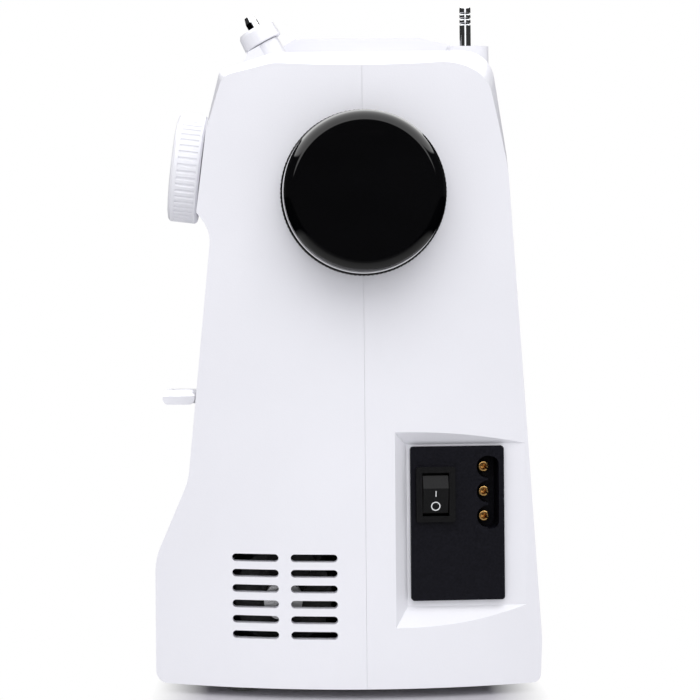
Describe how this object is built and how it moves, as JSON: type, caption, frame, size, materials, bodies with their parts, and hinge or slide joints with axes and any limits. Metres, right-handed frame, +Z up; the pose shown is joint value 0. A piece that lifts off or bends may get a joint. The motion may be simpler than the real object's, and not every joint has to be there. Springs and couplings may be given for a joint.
{
  "type": "sewing machine",
  "caption": "Free-arm household sewing machine with a black handwheel, stitch dial, folding handle, bobbin winder, slide-on accessory box and a full needle and hook drive.",
  "frame": {"origin": "on the table, under the middle of the machine's bounding box", "axes": "+X out of the handwheel end, -Y to the operator, +Z up"},
  "size_m": [0.35, 0.1492, 0.2676],
  "materials": {
    "white_plastic": "satin white moulded plastic",
    "black_gloss": "glossy black plastic",
    "black_plastic": "matte black plastic",
    "rubber": "dark grey rubber",
    "steel": "ground steel",
    "chrome": "polished chrome",
    "brass": "gold-coloured contact pins",
    "aluminium": "die-cast aluminium",
    "bronze": "sintered bronze",
    "motor_black": "black painted steel can",
    "lens": "frosted lamp lens"
  },
  "bodies": {
    "machine": {"base_tray": "white_plastic", "bobbin_case": "black_plastic", "casing_pins": "steel", "casing_screws": "steel", "drive_belt": "rubber", "frame_bushes": "bronze", "frame_pins": "steel", "free_arm_cover": "white_plastic", "front_shell": "white_plastic", "handle_pivots": "white_plastic", "inlet_pins": "brass", "main_frame": "aluminium", "motor": "motor_black", "motor_saddle": "black_plastic", "needle_plate": "steel", "power_panel": "black_plastic", "rear_shell": "white_plastic", "rubber_feet": "rubber", "sewing_lamp": "lens", "switch_frame": "black_plastic", "timing_belt": "rubber"},
    "main_drive": {"main_shaft": "steel", "handwheel": "black_gloss", "handwheel_cap": "black_gloss", "belt_wheel": "black_plastic", "upper_timing_pulley": "black_plastic", "crank_disc": "steel"},
    "motor_rotor": {"motor_pulley": "steel"},
    "lower_drive": {"lower_shaft": "steel", "lower_timing_pulley": "black_plastic", "rotary_hook": "steel"},
    "link": {"needle_link": "steel"},
    "needle_slider": {"needle_bar": "steel", "needle_stud": "steel", "needle_clamp": "steel", "clamp_screw": "steel", "needle": "steel"},
    "take_up": {"take_up_lever": "steel"},
    "lifter": {"presser_lifter": "steel"},
    "presser": {"presser_bar": "steel", "presser_bracket": "steel", "presser_shank": "steel"},
    "foot": {"presser_foot": "steel"},
    "feed": {"feed_dog": "steel"},
    "bobbin_body": {"bobbin": "aluminium"},
    "dial": {"stitch_dial": "white_plastic", "dial_spindle": "black_plastic"},
    "tension": {"tension_wheel": "black_plastic"},
    "reverse": {"reverse_lever": "white_plastic"},
    "winder": {"winder_carriage": "white_plastic"},
    "winder_rotor": {"winder_disc": "white_plastic", "winder_spindle": "chrome"},
    "spool": {"spool_pin": "chrome"},
    "handle": {"carrying_handle": "white_plastic"},
    "rocker": {"switch_rocker": "black_gloss"},
    "face": {"face_cover": "white_plastic"},
    "plate_slide": {"slide_plate": "steel"},
    "box": {"accessory_box": "white_plastic"},
    "box_lid": {"accessory_lid": "white_plastic"}
  },
  "joints": [
    {"name": "handwheel_turn", "type": "hinge", "parent": "machine", "child": "main_drive", "pos_m": [0.15, 0.0066, 0.1918], "axis": [1, 0, 0], "continuous": true},
    {"name": "motor_spin", "type": "hinge", "parent": "machine", "child": "motor_rotor", "pos_m": [0.13, -0.025, 0.036], "axis": [1, 0, 0], "continuous": true},
    {"name": "lower_shaft_turn", "type": "hinge", "parent": "machine", "child": "lower_drive", "pos_m": [0, 0.0066, 0.052], "axis": [1, 0, 0], "continuous": true},
    {"name": "needle_link_turn", "type": "hinge", "parent": "main_drive", "child": "link", "pos_m": [-0.12, 0.0066, 0.2068], "axis": [1, 0, 0], "continuous": true},
    {"name": "needle_bar_slide", "type": "slide", "parent": "machine", "child": "needle_slider", "axis": [0, 0, 1], "range_m": [-0.03, 0]},
    {"name": "take_up_swing", "type": "hinge", "parent": "machine", "child": "take_up", "pos_m": [-0.145, 0.022, 0.212], "axis": [1, 0, 0], "range_deg": [0, 26]},
    {"name": "presser_lift", "type": "hinge", "parent": "machine", "child": "lifter", "pos_m": [-0.14, 0.022, 0.1498], "axis": [1, 0, 0], "range_deg": [0, 45]},
    {"name": "presser_bar_slide", "type": "slide", "parent": "machine", "child": "presser", "axis": [0, 0, 1], "range_m": [0, 0.00424]},
    {"name": "foot_tilt", "type": "hinge", "parent": "presser", "child": "foot", "pos_m": [-0.128, 0.016, 0.0865], "axis": [1, 0, 0], "range_deg": [-6, 3]},
    {"name": "feed_stroke", "type": "slide", "parent": "machine", "child": "feed", "axis": [0, 1, 0], "range_m": [-0.002, 0.002]},
    {"name": "bobbin_spin", "type": "hinge", "parent": "machine", "child": "bobbin_body", "pos_m": [-0.14, 0.0066, 0.052], "axis": [1, 0, 0], "continuous": true},
    {"name": "stitch_dial_turn", "type": "hinge", "parent": "machine", "child": "dial", "pos_m": [0.108, -0.05504, 0.2034], "axis": [0, -0.9927, 0.1204], "continuous": true},
    {"name": "tension_turn", "type": "hinge", "parent": "machine", "child": "tension", "pos_m": [-0.089, -0.03, 0.2275], "axis": [1, 0, 0], "range_deg": [0, 300]},
    {"name": "reverse_press", "type": "hinge", "parent": "machine", "child": "reverse", "pos_m": [0.095, -0.04, 0.113], "axis": [1, 0, 0], "range_deg": [0, 15], "stiffness_Nm_per_rad": 0.15, "springref_deg": -2.86},
    {"name": "winder_shift", "type": "slide", "parent": "machine", "child": "winder", "axis": [-1, 0, 0], "range_m": [0, 0.005]},
    {"name": "winder_spin", "type": "hinge", "parent": "winder", "child": "winder_rotor", "pos_m": [0.105, -0.0269, 0.2463], "axis": [0, -0.4879, 0.8729], "continuous": true},
    {"name": "spool_pin_lift", "type": "slide", "parent": "machine", "child": "spool", "axis": [0, 0, 1], "range_m": [0, 0.04]},
    {"name": "handle_lift", "type": "hinge", "parent": "machine", "child": "handle", "pos_m": [0.012, 0.0425, 0.2519], "axis": [-1, 0, 0], "range_deg": [0, 90]},
    {"name": "rocker_tilt", "type": "hinge", "parent": "machine", "child": "rocker", "pos_m": [0.14039, 0.03311, 0.077], "axis": [-0.0802, 0.9968, 0], "range_deg": [-12, 12]},
    {"name": "face_cover_swing", "type": "hinge", "parent": "machine", "child": "face", "pos_m": [-0.16515, 0.0066, 0.247], "axis": [0, 1, 0], "range_deg": [0, 110]},
    {"name": "slide_plate_pull", "type": "slide", "parent": "machine", "child": "plate_slide", "axis": [-1, 0, 0], "range_m": [0, 0.02]},
    {"name": "accessory_box_slide", "type": "slide", "parent": "machine", "child": "box", "axis": [-1, 0, 0], "range_m": [0, 0.23]},
    {"name": "accessory_lid_swing", "type": "hinge", "parent": "box", "child": "box_lid", "pos_m": [-0.058, -0.0632, 0.0768], "axis": [1, 0, 0], "range_deg": [0, 100]}
  ],
  "couplings": [
    {"joint": "motor_spin", "follows": "handwheel_turn", "ratio": 4.6667},
    {"joint": "lower_shaft_turn", "follows": "handwheel_turn", "ratio": 2},
    {"joint": "needle_link_turn", "follows": "handwheel_turn", "ratio": -1},
    {"joint": "presser_lift", "follows": "presser_bar_slide", "rad_per_m": 185.19}
  ]
}
